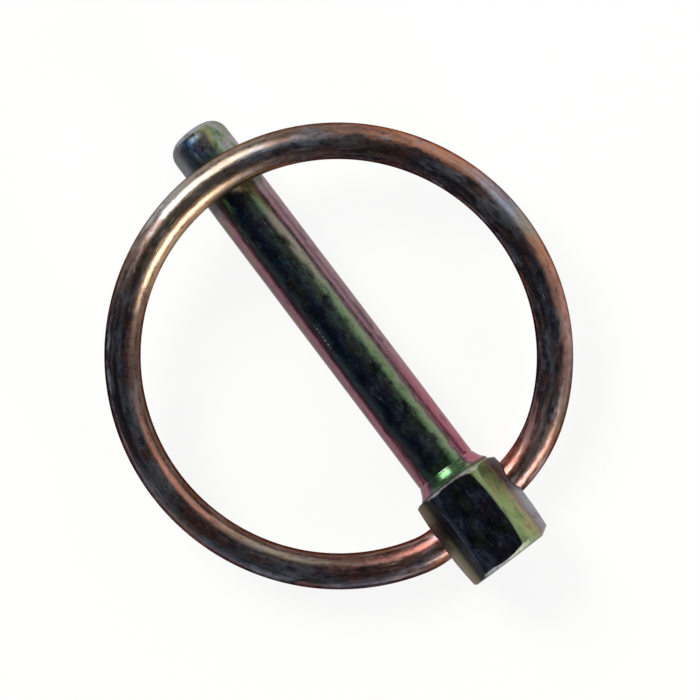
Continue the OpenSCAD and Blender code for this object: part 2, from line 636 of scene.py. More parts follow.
@dataclass(frozen=True)
class TurnedPin:
    """Head and shank in one piece, turned from hexagon bar. Lengths in millimetres, angles in degrees."""

    layout: Layout
    shank_r: float = 3.0
    shank_l: float = 40.999
    lead_l: float = 7.8
    tip_r: float = 2.94
    tip_edge_r: float = 1.6
    flare_l: float = 1.7
    flare_rise: float = 0.752
    flat_r: float = 4.0
    head_l: float = 9.0
    face_r: float = 3.8
    chamfer_slope: float = 32.0
    corner_rub: float = 0.35
    corner_steps: int = 6
    barrel_r: float = 4.54
    barrel_drop: float = 0.24
    off_centre: float = 0.28
    barrel_turn: float = 1.1
    groove_x: float = 1.25
    groove_l: float = 0.44
    groove_deep: float = 0.07
    bore_r: float = 1.75
    weld_gap: float = 0.002
    smooth_deg: float = 30.0
    sides: int = 96
    arc_steps: int = 10

    def _shank_stations(self) -> list[Station]:
        """Lists the shank's section from inside the head to the tip.

        Returns:
            Places along the axis with their radii.
        """
        flare_r = (self.flare_l**2 + self.flare_rise**2) / (2 * self.flare_rise)
        stations = [(-self.flare_l, self.shank_r + self.flare_rise)]
        flare_steps = 2 * self.arc_steps
        for step in range(flare_steps + 1):
            x = self.flare_l * step / flare_steps
            drop = math.sqrt(flare_r**2 - (self.flare_l - x) ** 2)
            stations.append((x, self.shank_r + flare_r - drop))
        stations = [self._grooved(*station) for station in stations]
        stations.append((self.shank_l - self.lead_l, self.shank_r))
        for step in range(self.arc_steps + 1):
            angle = QUARTER_TURN * step / self.arc_steps
            x = self.shank_l - self.tip_edge_r * (1 - math.sin(angle))
            stations.append((x, self.tip_r - self.tip_edge_r * (1 - math.cos(angle))))
        return stations

    def _grooved(self, x: float, radius: float) -> Station:
        """Lets a station of the flare down into the tool mark that runs round the neck."""
        near = max(0.0, 1 - abs(x - self.groove_x) / (self.groove_l / 2))
        return x, radius - self.groove_deep * math.sin(near * QUARTER_TURN) ** 2

    def _barrel(self) -> bpy.types.Object:
        """Turns the blank that lets the head's long edges fall away towards both ends.

        Returns:
            A barrel a little longer than the head.
        """
        shares = [2 * step / self.arc_steps - 1 for step in range(-1, self.arc_steps + 2)]
        half_l = self.head_l / 2
        stations = [((share - 1) * half_l, self.barrel_r - self.barrel_drop * share**2) for share in shares]
        barrel = Bench.turned("barrel", stations, self.sides)
        barrel.rotation_euler.x = math.radians(self.barrel_turn)
        Bench.settle()
        return barrel

    def _chamfers(self) -> bpy.types.Object:
        """Turns the blank that gives the head its chamfered ends.

        Returns:
            Two cones foot to foot, a little off the pin's axis.
        """
        wide_r = self.flat_r + self.shank_r
        back = (wide_r - self.face_r) * math.tan(math.radians(self.chamfer_slope))
        stations = [(-self.head_l, self.face_r), (back - self.head_l, wide_r), (-back, wide_r), (0, self.face_r)]
        blank = Bench.turned("chamfers", stations, self.sides)
        blank.location.y = self.off_centre
        Bench.settle()
        return blank

    def _head(self) -> bpy.types.Object:
        """Makes the hexagon head with rubbed corners and turned chamfers.

        Returns:
            The head, without its bore.
        """
        Bench.clear()
        bpy.ops.mesh.primitive_cylinder_add(
            vertices=6,
            radius=self.flat_r / math.cos(math.pi / 6),
            depth=self.head_l,
            location=(-self.head_l / 2, 0, 0),
            rotation=(0, QUARTER_TURN, 0),
        )
        head = Bench.take("head")
        Bench.edit("EDGE")
        Bench.pick_edges(head, lambda a, b: abs(a.x - b.x) > self.flat_r)
        bpy.ops.mesh.bevel(offset=self.corner_rub, segments=self.corner_steps, affect="EDGES")
        Bench.leave()
        Bench.work(head, self._barrel(), Cut.KEEP_COMMON)
        Bench.work(head, self._chamfers(), Cut.KEEP_COMMON)
        Bench.weld(head, self.weld_gap)
        return head

    def _drill(self) -> bpy.types.Object:
        """Makes the drill for the cross bore.

        Returns:
            A cylinder along the bore, longer than the head is wide.
        """
        reach = 2 * self.flat_r
        drill = Bench.turned("drill", [(-reach, self.bore_r), (reach, self.bore_r)], self.sides // 2)
        drill.matrix_world = self.layout.bore
        Bench.settle()
        return drill

    def build(self) -> bpy.types.Object:
        """Builds the pin, in place.

        Returns:
            The finished piece.
        """
        pin = self._head()
        Bench.work(pin, Bench.turned("shank", self._shank_stations(), self.sides), Cut.JOIN)
        Bench.work(pin, self._drill(), Cut.TAKE_AWAY)
        pin.name = pin.data.name = "turned_pin"
        Bench.weld(pin, self.weld_gap)
        Bench.put(pin, self.layout.pin, self.smooth_deg)
        Bench.modify(pin, "WEIGHTED_NORMAL", keep_sharp=True)
        return pin

    def dress(self, pin: bpy.types.Object, finish: "PinPlating") -> None:
        """Plates the pin and ties it to its CAD body.

        Args:
            pin: The built piece.
            finish: Its plating.
        """
        pin.data.materials.clear()
        pin.data.materials.append(finish.material(self))
        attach(pin, "pin")
        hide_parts("pin")


@dataclass(frozen=True)
class SprungRing:
    """Ring of one spring wire, its two ends bent into the cross bore. Lengths in millimetres, angles in degrees."""

    layout: Layout
    wire_r: float = 1.697
    ring_r: float = 20.1
    wide_bend_r: float = 8.0
    narrow_bend_r: float = 14.0
    end_gap: float = 2.0
    weld_gap: float = 0.002
    smooth_deg: float = 40.0
    sides: int = 48
    bend_steps: int = 16
    ring_steps: int = 216

    @staticmethod
    def _spin(angle: float, steps: int, middle: Triple) -> None:
        """Draws the picked wire end round a middle by an angle in degrees."""
        bpy.ops.mesh.spin(steps=steps, angle=math.radians(angle), center=middle, axis=(0, 0, 1))

    def _bend(self, bend_r: float) -> Span:
        """Angle in degrees of the bend of that radius into the cross bore, and how far from the middle it ends."""
        angle = math.acos((self.layout.ring_y - bend_r) / (self.ring_r - bend_r))
        return math.degrees(angle), (self.ring_r - bend_r) * math.sin(angle)

    def build(self) -> bpy.types.Object:
        """Draws the wire from one end to the other, in place.

        Returns:
            The finished piece.
        """
        layout = self.layout
        wide_angle, wide_reach = self._bend(self.wide_bend_r)
        narrow_angle, narrow_reach = self._bend(self.narrow_bend_r)
        ends = [-layout.ring_shift - self.end_gap / 2, -layout.ring_shift + self.end_gap / 2]
        Bench.clear()
        bpy.ops.mesh.primitive_circle_add(
            vertices=self.sides,
            radius=self.wire_r,
            location=(ends[0], -layout.ring_y, 0),
            rotation=(0, QUARTER_TURN, 0),
        )
        ring = Bench.take("wire_ring")
        Bench.edit("EDGE")
        bpy.ops.mesh.select_all(action="SELECT")
        bpy.ops.mesh.extrude_edges_move(TRANSFORM_OT_translate={"value": (-wide_reach - ends[0], 0, 0)})
        self._spin(wide_angle, self.bend_steps, (-wide_reach, self.wide_bend_r - layout.ring_y, 0))
        self._spin(360 - wide_angle - narrow_angle, self.ring_steps, (0, 0, 0))
        self._spin(narrow_angle, self.bend_steps, (narrow_reach, self.narrow_bend_r - layout.ring_y, 0))
        bpy.ops.mesh.extrude_edges_move(TRANSFORM_OT_translate={"value": (ends[1] - narrow_reach, 0, 0)})
        for end in ends:
            Bench.pick_edges(ring, lambda a, b: all(abs(p.x - end) < self.weld_gap and p.y < 0 for p in (a, b)))
            bpy.ops.mesh.edge_face_add()
        bpy.ops.mesh.select_all(action="SELECT")
        bpy.ops.mesh.remove_doubles(threshold=self.weld_gap)
        bpy.ops.mesh.normals_make_consistent(inside=False)
        Bench.leave()
        ring.data.name = ring.name
        Bench.put(ring, layout.ring, self.smooth_deg)
        return ring

    def dress(self, ring: bpy.types.Object, finish: "RingPlating") -> None:
        """Plates the ring and ties it to its CAD body.

        Args:
            ring: The built piece.
            finish: Its plating.
        """
        ring.data.materials.clear()
        ring.data.materials.append(finish.material(self))
        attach(ring, "ring")
        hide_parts("ring")


@dataclass(frozen=True)
class Plating:
    """Worn yellow passivation over zinc: what the pin's and the ring's finishes share."""

    roughness: float = 0.24
    rim_tint: Colour = (0.72, 0.66, 0.66)
    relief: float = 0.00003
    scratch: Cloud = Cloud((0.08, 1.3, 1.3), 1.0)
    scratch_width: float = 0.008
    scratch_field: Cloud = Cloud((0.5, 0.7, 0.7), 2.0)
    scratch_kept: Span = (0.50, 0.62)

    @staticmethod
    def new_sheet(name: str) -> tuple[bpy.types.Material, Sheet]:
        """Makes a material with an empty sheet.

        Args:
            name: Name of the material.

        Returns:
            The material and its sheet.
        """
        material = bpy.data.materials.new(name)
        material.use_nodes = True
        return material, Sheet(material.node_tree)

    @staticmethod
    def own_frame(sheet: Sheet, place: Matrix) -> Shade:
        """Reads the surface's place in a piece's own frame, in millimetres."""
        row = sheet.node("ShaderNodeTexCoord")["Object"]
        return sheet.moved(sheet.vector("MULTIPLY", row, (1 / MM,) * 3), place)

    def scratches(self, sheet: Sheet, place: Shade) -> Shade:
        """Draws fine broken lines: one on a line, zero beside it."""
        line = sheet.ease(abs(sheet.noise(place, self.scratch) - NOISE_MIDDLE), self.scratch_width, 0.0)
        return line * sheet.ease(sheet.noise(place, self.scratch_field), *self.scratch_kept)

    def finish(self, sheet: Sheet, colour: Shade, rough: Shade, height: Shade) -> None:
        """Closes a sheet with the plated metal.

        Args:
            sheet: Sheet to close.
            colour: Colour of the film.
            rough: Roughness.
            height: Relief, about from zero to one.
        """
        relief = {"Strength": 1.0, "Distance": self.relief, "Height": height}
        sockets = {
            "Base Color": colour,
            "Metallic": 1.0,
            "Roughness": rough,
            "Specular Tint": (*self.rim_tint, 1.0),
            "Normal": sheet.node("ShaderNodeBump", None, relief)["Normal"],
        }
        shader = sheet.node("ShaderNodeBsdfPrincipled", None, sockets)
        sheet.node("ShaderNodeOutputMaterial", None, {"Surface": shader["BSDF"]})


@dataclass(frozen=True)
class NickRow:
    """Row of small nicks along the top of the shank, on the wide side. Lengths in millimetres."""

    across: float = 1.52
    middle: float = 18.0
    slant: float = 0.02
    width: Span = (0.09, 0.03)
    above: Span = (0.0, 1.0)
    start: Span = (15.4, 16.2)
    end: Span = (21.2, 20.0)
    beat: float = 14.5
    deep: Span = (0.0, 0.7)

    def draw(self, sheet: Sheet, x: Shade, y: Shade, z: Shade) -> Shade:
        """Draws the row.

        Args:
            sheet: Sheet that needs it.
            x: Place along the pin.
            y: Place across the pin.
            z: Place above the pin's axis.

        Returns:
            One in a nick, zero beside it.
        """
        row = sheet.ease(abs(y - self.across + (x - self.middle) * self.slant), *self.width)
        row = row * sheet.ease(z, *self.above) * sheet.ease(x, *self.start) * sheet.ease(x, *self.end)
        return row * sheet.ease(sheet.math("SINE", x * self.beat), *self.deep)


@dataclass(frozen=True)
class PinPlating(Plating):
    """Film on the pin: navy on top, green and lilac down one side, violet and pink down the other; its coats also paint
    highlights on the head's edges and the tip's rim, a glint, and shade under the ring.
    """

    cloud: Cloud = Cloud((0.10, 0.30, 0.30), 4.0)
    blot: Cloud = Cloud((0.60, 0.95, 0.95), 6.0, 0.66)
    grain: Cloud = Cloud((2.6, 3.2, 3.2), 4.0, 0.62)
    tint: Cloud = Cloud((0.42, 0.70, 0.70))
    tool_marks: Cloud = Cloud((5.0, 5.0, 0.0), 3.0, 0.7)
    nicks: NickRow = NickRow()
    shank_narrow: Stops = (
        (0.00, (0.050, 0.085, 0.125)), (0.13, (0.170, 0.240, 0.210)), (0.28, (0.165, 0.260, 0.125)),
        (0.40, (0.215, 0.240, 0.160)), (0.47, (0.120, 0.095, 0.090)), (0.54, (0.360, 0.200, 0.235)),
        (0.66, (0.130, 0.090, 0.105)), (0.74, (0.290, 0.175, 0.200)), (1.00, (0.300, 0.220, 0.240)),
    )
    shank_wide: Stops = (
        (0.00, (0.050, 0.085, 0.125)), (0.10, (0.020, 0.045, 0.095)), (0.20, (0.014, 0.038, 0.080)),
        (0.34, (0.080, 0.120, 0.150)), (0.44, (0.110, 0.060, 0.080)), (0.55, (0.250, 0.110, 0.150)),
        (0.72, (0.140, 0.092, 0.102)), (1.00, (0.140, 0.104, 0.108)),
    )
    head_narrow: Stops = (
        (0.00, (0.034, 0.046, 0.075)), (0.30, (0.040, 0.055, 0.085)), (0.35, (0.270, 0.330, 0.170)),
        (0.48, (0.250, 0.340, 0.130)), (0.64, (0.230, 0.260, 0.150)), (0.76, (0.240, 0.190, 0.180)),
        (0.90, (0.330, 0.320, 0.350)), (1.00, (0.370, 0.370, 0.390)),
    )
    head_wide: Stops = (
        (0.00, (0.034, 0.046, 0.075)), (0.31, (0.045, 0.070, 0.115)), (0.38, (0.007, 0.010, 0.015)),
        (0.60, (0.010, 0.013, 0.014)), (0.73, (0.120, 0.125, 0.070)), (0.86, (0.230, 0.180, 0.140)),
        (1.00, (0.270, 0.220, 0.200)),
    )
    end_faces: Stops = (
        (0.00, (0.200, 0.150, 0.160)), (0.35, (0.210, 0.200, 0.150)), (0.65, (0.160, 0.200, 0.140)),
        (0.90, (0.085, 0.110, 0.130)),
    )
    shank_coats: tuple[Coat, ...] = (
        Coat(Tone.FLANK_OLIVE, 0.6, (
            Read.WIDE, Step(Read.FILM, 0.50, 0.62), Step(Read.TINT, 0.48, 0.56), Step(Read.ALONG, 8.0, 20.0))),
        Coat(Tone.TIP_BEIGE, 0.8, (
            Read.NARROW, Step(Read.FILM, 0.14, 0.26), Step(Read.FILM, 0.50, 0.40),
            Step(Read.ALONG, 19.0, 27.0), Step(Read.ALONG, 31.5, 29.0))),
        Coat(Tone.NECK_PINK, 0.9, (
            Step(Read.WIDE, 1.0, 0.0, 0.25), Step(Read.FILM, 0.46, 0.56), Step(Read.ALONG, 17.0, 5.0))),
        Coat(Tone.NECK_GREEN, 0.9, (Step(Read.FILM, 0.42, 0.24), Step(Read.ALONG, 2.8, 1.6))),
        Coat(
            Tone.TIP_GREEN, 0.85, (Read.NARROW, Step(Read.FILM, 0.10, 0.22), Step(Read.ALONG, 31.0, 35.0)),
            (Tone.TIP_LILAC, Step(Read.BLOT, 0.46, 0.58))),
        Coat(Tone.TIP_TEAL, 0.85, (Read.WIDE, Step(Read.FILM, 0.34, 0.46), Step(Read.ALONG, 31.0, 35.0))),
        Coat(Tone.TIP_OLIVE, 0.75, (
            Read.NARROW, Step(Read.FILM, 0.04, 0.14), Step(Read.FILM, 0.46, 0.32),
            Step(Read.TINT, 0.40, 0.50), Step(Read.ALONG, 37.9, 38.9))),
    )
    head_coats: tuple[Coat, ...] = (
        Coat(Tone.FACE_GREEN, 1.0, (Read.NARROW, Read.OFF_FLAT, Step(Read.SIDE, 0.45, 0.35))),
        Coat(Tone.FACE_GOLD, 0.7, (
            Read.NARROW, Step(Read.TINT_BLOT, 0.47, 0.58), Step(Read.FACE, 0.34, 0.40), Step(Read.FACE, 0.80, 0.66))),
    )
    wear_coats: tuple[Coat, ...] = (
        Coat(Tone.VIOLET, 0.75, (Read.TOP, Step(Read.TINT, 0.52, 0.62))),
        Coat(Tone.OLIVE, 0.65, (Read.TOP, Step(Read.TINT, 0.48, 0.38))),
        Coat(Tone.SKY, 0.55, (Read.TOP, Step(Read.BLOT, 0.54, 0.66))),
        Coat(Tone.GRIME_AND_SHADE, 1.0, (Step(Read.TOP, 0.0, 1.0, 0.40, 0.80, Slope.STRAIGHT), Step(Read.BLOT, 0.50, 0.36))),
        Coat(Tone.SKY, 1.0, (Step(Read.TOP, 0.0, 1.0, 0.16, 0.40, Slope.STRAIGHT), Step(Read.GRAIN, 0.57, 0.70))),
        Coat(Tone.BARE_ZINC, 0.22, (Read.MARKS,)),
        Coat(Tone.BARE_ZINC, 0.6, (Read.NICKS,)),
        # Painted highlight: a broken bluish line along the top flat's long edge on the wide side.
        Coat(Tone.EDGE_HIGHLIGHT_BLUE, 0.55, (Read.WIDE, Read.LONG_EDGE)),
        # Rubbed edges of the head's ends in bare zinc, brightest on top as a painted highlight.
        Coat(Tone.BARE_ZINC, 0.85, (Read.RUB_AND_HIGHLIGHT,)),
        # Rubbed rim round the tip's rounded edge, made lighter as a painted highlight.
        Coat(Tone.TIP_RIM_RUB_AND_HIGHLIGHT, 1.0, (Step(Read.ALONG, 40.327, 40.583), Step(Read.BLOT, 0.36, 0.48, 0.45, 0.9))),
        # Painted shade under the ring where it crosses the shank, also a dirt line where it rests.
        Coat(Tone.GRIME_AND_SHADE, 0.6, (
            Step(Read.ALONG, 32.4, 33.6), Step(Read.ALONG, 37.2, 36.0), Step(Read.ABOVE, 0.0, 1.5))),
        # Painted glint: a small green streak along the shank's wide side, next to the ring.
        Coat(Tone.PAINTED_GLINT_GREEN, 0.85, (
            Step(Read.ALONG, 31.8, 32.6), Step(Read.ALONG, 34.0, 33.2), Step(Read.ACROSS, 0.87, 1.07),
            Step(Read.ACROSS, 1.43, 1.23), Step(Read.ABOVE, 0.0, 1.0), Step(Read.GRAIN, 0.36, 0.50))),
        # Darker in the cross bore and at the flare's foot.
        Coat(Tone.GRIME_AND_SHADE, 1.0, (Read.DARKENED_HOLLOWS,)),
    )
    film_push: tuple[float, ...] = (0.18, 0.26, 0.06)
    face_push: tuple[float, ...] = (0.08, 0.12)
    end_push: tuple[float, ...] = (0.8, 0.25)
    gold_push: float = 0.5
    nick_push: float = 0.5
    rough_push: tuple[float, ...] = (0.20, 0.14)
    rough_weights: Weights = (
        (Read.RUB_AND_HIGHLIGHT, 0.10),
        (Read.MARKS, 0.08),
        (Read.DARKENED_HOLLOWS, 0.3),
        (Step(Read.ALONG, 36.0, 39.5), 0.12),
        (Read.HEAD_FLANK, 0.18),
    )
    height_weights: Weights = (
        (Read.BLOT, 0.45),
        (Read.GRAIN, 0.20),
        (Read.TURNED, 0.10),
        (Read.FACED, 0.5),
        (Read.MARKS, -0.15),
        (Read.NICKS, -0.6),
    )
    sides_meet: Span = (-0.05, 0.05)
    head_starts: Span = (0.10, -0.05)
    top_ends: Span = (0.36, 0.18)
    flat_ends: Span = (0.36, 0.32)
    flat_sinks: Span = (0.07, 0.005)
    free_face_within: Span = (0.04, 0.01)
    tip_face_within: Span = (0.30, 0.02)
    wear_broken: Span = (0.38, 0.56)
    nicks_broken: Span = (0.38, 0.54)
    edge_sinks: float = 0.03
    edge_width: Span = (0.03, 0.005)
    edge_ends: Span = (0.40, 0.34)
    rub_highlight_width: Span = (-0.12, -0.02)
    rub_highlight_above: Span = (2.80, 3.44)
    rub_highlight_below: float = 0.15
    rub_highlight_rises: Span = (0.0, 0.04)
    rub_highlight_stops: Span = (0.04, 0.0)
    free_end_rub_highlight: float = 0.6
    bore_darkening: Span = (0.30, 0.0)
    bore_darkening_share: float = 0.8
    foot_darkening: Span = (0.22, 0.04)
    foot_inside: float = 0.08
    foot_darkening_share: float = 0.6

    def material(self, pin: "TurnedPin") -> bpy.types.Material:
        """Makes the plating.

        Args:
            pin: The piece that it is on, for its sizes.

        Returns:
            The material.
        """
        material, sheet = self.new_sheet("pin_plating")
        place = self.own_frame(sheet, pin.layout.pin)
        x, y, z = sheet.axes(place)
        radius = sheet.length(y, z)
        lean = sheet.math("ARCTAN2", y, z) / QUARTER_TURN
        side = sheet.math("PINGPONG", abs(lean), 1.0)
        cloud, blot, grain, tint = (sheet.noise(place, c) for c in (self.cloud, self.blot, self.grain, self.tint))
        film = sheet.stir(side, zip((cloud, blot, grain), self.film_push))
        face = sheet.stir(side, zip((cloud, blot), self.face_push))
        wide = sheet.ease(lean, *self.sides_meet)
        on_head = sheet.ease(x, *self.head_starts)
        apothem = radius * sheet.math("COSINE", sheet.math("PINGPONG", lean * QUARTER_TURN, math.pi / 6))
        on_flat = sheet.ease(apothem, *(pin.flat_r - sink for sink in self.flat_sinks))
        on_flat = on_flat * sheet.ease(side, *self.flat_ends)
        faced = sheet.math(
            "MAXIMUM",
            sheet.ease(x, *(within - pin.head_l for within in self.free_face_within)),
            sheet.ease(x, *(pin.shank_l - within for within in self.tip_face_within)),
        )
        broken = sheet.ease((grain + blot) / 2, *self.wear_broken)
        edge = sheet.ease(abs(apothem - pin.flat_r + self.edge_sinks), *self.edge_width)
        section = sheet.node("ShaderNodeCombineXYZ", None, {"X": x, "Y": radius})["Vector"]
        turned = sheet.noise(section, self.tool_marks)
        nicks = self.nicks.draw(sheet, sheet.stir(x, [(grain, self.nick_push)]), y, z)
        reads = {
            Read.ALONG: x,
            Read.ACROSS: y,
            Read.ABOVE: z,
            Read.SIDE: side,
            Read.FILM: film,
            Read.FACE: face,
            Read.WIDE: wide,
            Read.NARROW: 1 - wide,
            Read.TOP: sheet.ease(film, *self.top_ends) * (1 - on_head) + on_flat * on_head,
            Read.OFF_FLAT: 1 - on_flat,
            Read.HEAD_FLANK: on_head * (1 - on_flat),
            Read.BLOT: blot,
            Read.GRAIN: grain,
            Read.TINT: tint,
            Read.TINT_BLOT: sheet.stir(tint, [(blot, self.gold_push)]),
            Read.TURNED: turned,
            Read.FACED: turned * faced,
            Read.MARKS: self.scratches(sheet, place),
            Read.NICKS: nicks * sheet.ease(blot, *self.nicks_broken),
            Read.LONG_EDGE: edge * sheet.ease(side, *self.edge_ends) * on_head * broken,
            Read.RUB_AND_HIGHLIGHT: self._rubbed_and_highlit(sheet, pin, place) * broken,
            Read.DARKENED_HOLLOWS: self._darkened_hollows(sheet, pin, place, radius),
        }

        shank = sheet.mix(wide, sheet.ramp(film, self.shank_narrow), sheet.ramp(film, self.shank_wide))
        shank = sheet.lay(shank, self.shank_coats, reads)
        head = sheet.mix(wide, sheet.ramp(face, self.head_narrow), sheet.ramp(face, self.head_wide))
        head = sheet.lay(head, self.head_coats, reads)
        ringed = sheet.stir(radius / pin.face_r, zip((cloud, blot), self.end_push))
        colour = sheet.mix(faced, sheet.mix(on_head, shank, head), sheet.ramp(ringed, self.end_faces))
        colour = sheet.lay(colour, self.wear_coats, reads)
        rough = sheet.stir(self.roughness, zip((blot, grain), self.rough_push)) + sheet.total(reads, self.rough_weights)
        self.finish(sheet, colour, rough, sheet.total(reads, self.height_weights))
        return material

    def _rubbed_and_highlit(self, sheet: Sheet, pin: "TurnedPin", place: Shade) -> Shade:
        """Finds the edges of the head's ends, where the film is rubbed off and, brightest on top, a painted highlight
        lies.

        Args:
            sheet: Sheet that needs it.
            pin: The piece, for its sizes.
            place: Place in the pin's own frame.

        Returns:
            One on the edges, zero away from them.
        """
        x, y, z = sheet.axes(place)
        slope = math.tan(math.radians(pin.chamfer_slope))
        rise = (sheet.length(y - pin.off_centre, z) - pin.face_r) * slope
        shoulder = sheet.ease(x + rise, *self.rub_highlight_width)
        free_end = sheet.ease(rise - x - pin.head_l, *self.rub_highlight_width) * self.free_end_rub_highlight
        above = sheet.ease(z, *self.rub_highlight_above, self.rub_highlight_below)
        ends = sheet.ease(rise, *self.rub_highlight_rises) * sheet.ease(x, *self.rub_highlight_stops)
        return sheet.math("MAXIMUM", shoulder, free_end) * above * ends

    def _darkened_hollows(self, sheet: Sheet, pin: "TurnedPin", place: Shade, radius: Shade) -> Shade:
        """Finds the cross bore and the flare's foot, which are made darker.

        Args:
            sheet: Sheet that needs it.
            pin: The piece, for its sizes.
            place: Place in the pin's own frame.
            radius: Distance from the axis.

        Returns:
            One where it is darker, zero away from it.
        """
        x, _, _ = sheet.axes(place)
        _, y, z = sheet.axes(sheet.moved(place, pin.layout.bore))
        in_bore = sheet.ease(sheet.length(y, z), *(pin.bore_r + past for past in self.bore_darkening))
        foot = sheet.ease(abs(x), *self.foot_darkening) * sheet.ease(radius, pin.face_r, pin.face_r - self.foot_inside)
        return sheet.math("MAXIMUM", in_bore * self.bore_darkening_share, foot * self.foot_darkening_share)


@dataclass(frozen=True)
class RingPlating(Plating):
    """Film on the drawn wire, in stretches along it: a row each for its inner side, crown and outer side; some
    stretches and coats are painted highlights and painted shade.
    """

    roughness: float = 0.31
    rim_tint: Colour = (0.26, 0.19, 0.16)
    scratch: Cloud = Cloud((0.05, 1.8, 1.8), 1.0)
    cloud: Cloud = Cloud((0.12, 0.30, 0.30), 4.0)
    patch: Cloud = Cloud((0.26, 0.70, 0.70), 5.0, 0.62)
    blot: Cloud = Cloud((0.55, 1.30, 1.30), 6.0, 0.66)
    streak: Cloud = Cloud((0.22, 1.90, 1.90), 5.0, 0.64)
    grain: Cloud = Cloud((1.8, 3.2, 3.2), 4.0, 0.62)
    inner_side: Stretches = (
        (0.00, Tone.COPPER), (0.03, Tone.RUST), (0.12, Tone.RUST), (0.16, Tone.BROWN), (0.395, Tone.BROWN),
        (0.435, Tone.GOLD), (0.505, Tone.GOLD), (0.57, Tone.BROWN), (0.64, Tone.INK), (0.92, Tone.INK),
        (0.95, Tone.RUST), (0.98, Tone.COPPER), (1.00, Tone.COPPER),
    )
    # Pale at 0.745 and 0.94 on the crown, and slate at 0.75 on the outer side, are painted highlights; pale at 0.48 on
    # the outer side lightens the film where the lamp's highlight falls.
    crown: Stretches = (
        (0.00, Tone.RUST), (0.04, Tone.ROSE), (0.10, Tone.RUST), (0.16, Tone.SLATE), (0.23, Tone.RUST),
        (0.31, Tone.SLATE), (0.38, Tone.NAVY), (0.44, Tone.BROWN), (0.48, Tone.STRAW), (0.53, Tone.STRAW),
        (0.57, Tone.SLATE), (0.61, Tone.SLATE), (0.65, Tone.BROWN), (0.70, Tone.NAVY), (0.745, Tone.PALE_HIGHLIGHT),
        (0.78, Tone.NAVY), (0.84, Tone.NAVY), (0.88, Tone.SLATE), (0.905, Tone.BROWN), (0.94, Tone.PALE_HIGHLIGHT),
        (0.965, Tone.RUST), (1.00, Tone.RUST),
    )
    outer_side: Stretches = (
        (0.00, Tone.COPPER), (0.05, Tone.BROWN), (0.10, Tone.NAVY), (0.15, Tone.INK), (0.21, Tone.NAVY),
        (0.25, Tone.BROWN), (0.29, Tone.NAVY), (0.33, Tone.INK), (0.40, Tone.INK), (0.452, Tone.BROWN),
        (0.48, Tone.PALE_HIGHLIGHT), (0.52, Tone.STRAW), (0.59, Tone.BROWN), (0.62, Tone.BROWN), (0.65, Tone.COPPER),
        (0.72, Tone.COPPER), (0.75, Tone.SLATE), (0.77, Tone.STRAW), (0.79, Tone.COPPER), (0.86, Tone.ROSE),
        (0.885, Tone.BROWN), (0.95, Tone.BROWN), (1.00, Tone.COPPER),
    )
    coats: tuple[Coat, ...] = (
        # Painted shade: the outer side of the wire along the lower left, away from the lamps, in ink.
        Coat(Tone.INK, 0.75, (Step(Read.TURN, 0.03, 0.08), Step(Read.TURN, 0.44, 0.38), Step(Read.WAVY, 0.44, 0.58))),
        Coat(Tone.RUST, 0.80, (Read.CALM, Step(Read.PATCH, 0.49, 0.39))),
        Coat(Tone.SLATE, 0.70, (Read.CALM, Step(Read.PATCH, 0.52, 0.63))),
        Coat(Tone.BROWN, 0.40, (Step(Read.STREAK, 0.49, 0.35),)),
        Coat(Tone.INK, 0.70, (Read.CALM, Step(Read.BLOT, 0.50, 0.35))),
        # Painted highlight: a straw to orange line along the wire's inner flank, round the lower left.
        Coat(
            Tone.STRAW, 1.0, (
                Step(Read.TURN, 0.09, 0.15), Step(Read.TURN, 0.36, 0.31), Step(Read.WAVY, -0.23, -0.34),
                Step(Read.WAVY, -0.60, -0.50), Step(Read.STREAK, 0.42, 0.54, 0.45)),
            (Tone.FLAME_HIGHLIGHT, Step(Read.TURN, 0.17, 0.25))),
        # Painted shade: the wire's inner edge along the lower left, beyond the painted highlight line.
        Coat(Tone.INNER_RIM_SHADE, 0.85, (
            Step(Read.TURN, 0.03, 0.08), Step(Read.TURN, 0.44, 0.38), Step(Read.WAVY, -0.54, -0.66))),
        Coat(Tone.INK, 0.50, (Step(Read.GRAIN, 0.47, 0.33),)),
        Coat(Tone.SLATE, 0.25, (Step(Read.GRAIN, 0.54, 0.68),)),
        Coat(Tone.INK, 0.65, (
            Step(Read.TURN, 0.27, 0.31), Step(Read.TURN, 0.44, 0.41),
            Step(Read.WAVY, 0.08, 0.20), Step(Read.WAVY, 0.46, 0.36))),
        Coat(Tone.GOLD, 0.8, (
            Step(Read.TURN, 0.49, 0.52), Step(Read.TURN, 0.61, 0.57), Step(Read.WAVY, -0.54, -0.64))),
        # Painted highlight: a rose line along the wire's inner side beside the head.
        Coat(Tone.ROSE, 0.7, (
            Step(Read.TURN, 0.90, 0.93), Step(Read.WAVY, -0.38, -0.48), Step(Read.WAVY, -0.68, -0.58))),
        Coat(Tone.HEAD_WARMTH, 0.85, (Read.NEAR_HEAD,), blend=Blend.STAIN),
        Coat(Tone.SCUFF, 1.0, (
            Step(Read.NEAR_HEAD, 0.0, 1.0, 0.12, 0.42, Slope.STRAIGHT), Step(Read.STREAK, 0.52, 0.62))),
        Coat(Tone.BARE_ZINC, 0.22, (Read.MARKS,)),
        Coat(Tone.BARE_ZINC, 0.8, (
            Step(Read.FROM_TIP, 0.13, 0.04), Step(Read.ABOVE, -0.9, -1.5), Step(Read.BLOT, 0.36, 0.54))),
    )
    turn_start: float = 0.5
    turn_push: tuple[float, ...] = (0.06, 0.06)
    side_push: tuple[float, ...] = (0.25, 0.30)
    lean_push: float = 0.16
    rough_push: tuple[float, ...] = (0.20, 0.16, 0.12)
    mark_rough: float = 0.08
    height_weights: Weights = ((Read.STREAK, 0.30), (Read.BLOT, 0.35), (Read.GRAIN, 0.18), (Read.MARKS, -0.15))
    sides_meet: Span = (-0.04, 0.04)
    crown_ends: Span = (0.08, 0.28)
    head_nears: Span = (2.45, 2.85)
    calm_fades: tuple[float, ...] = (0.10, 0.42, 1.0, 0.55)
    glow_starts: Span = (0.40, 0.45)
    glow_ends: Span = (0.60, 0.55)
    glow_calm: float = 0.4

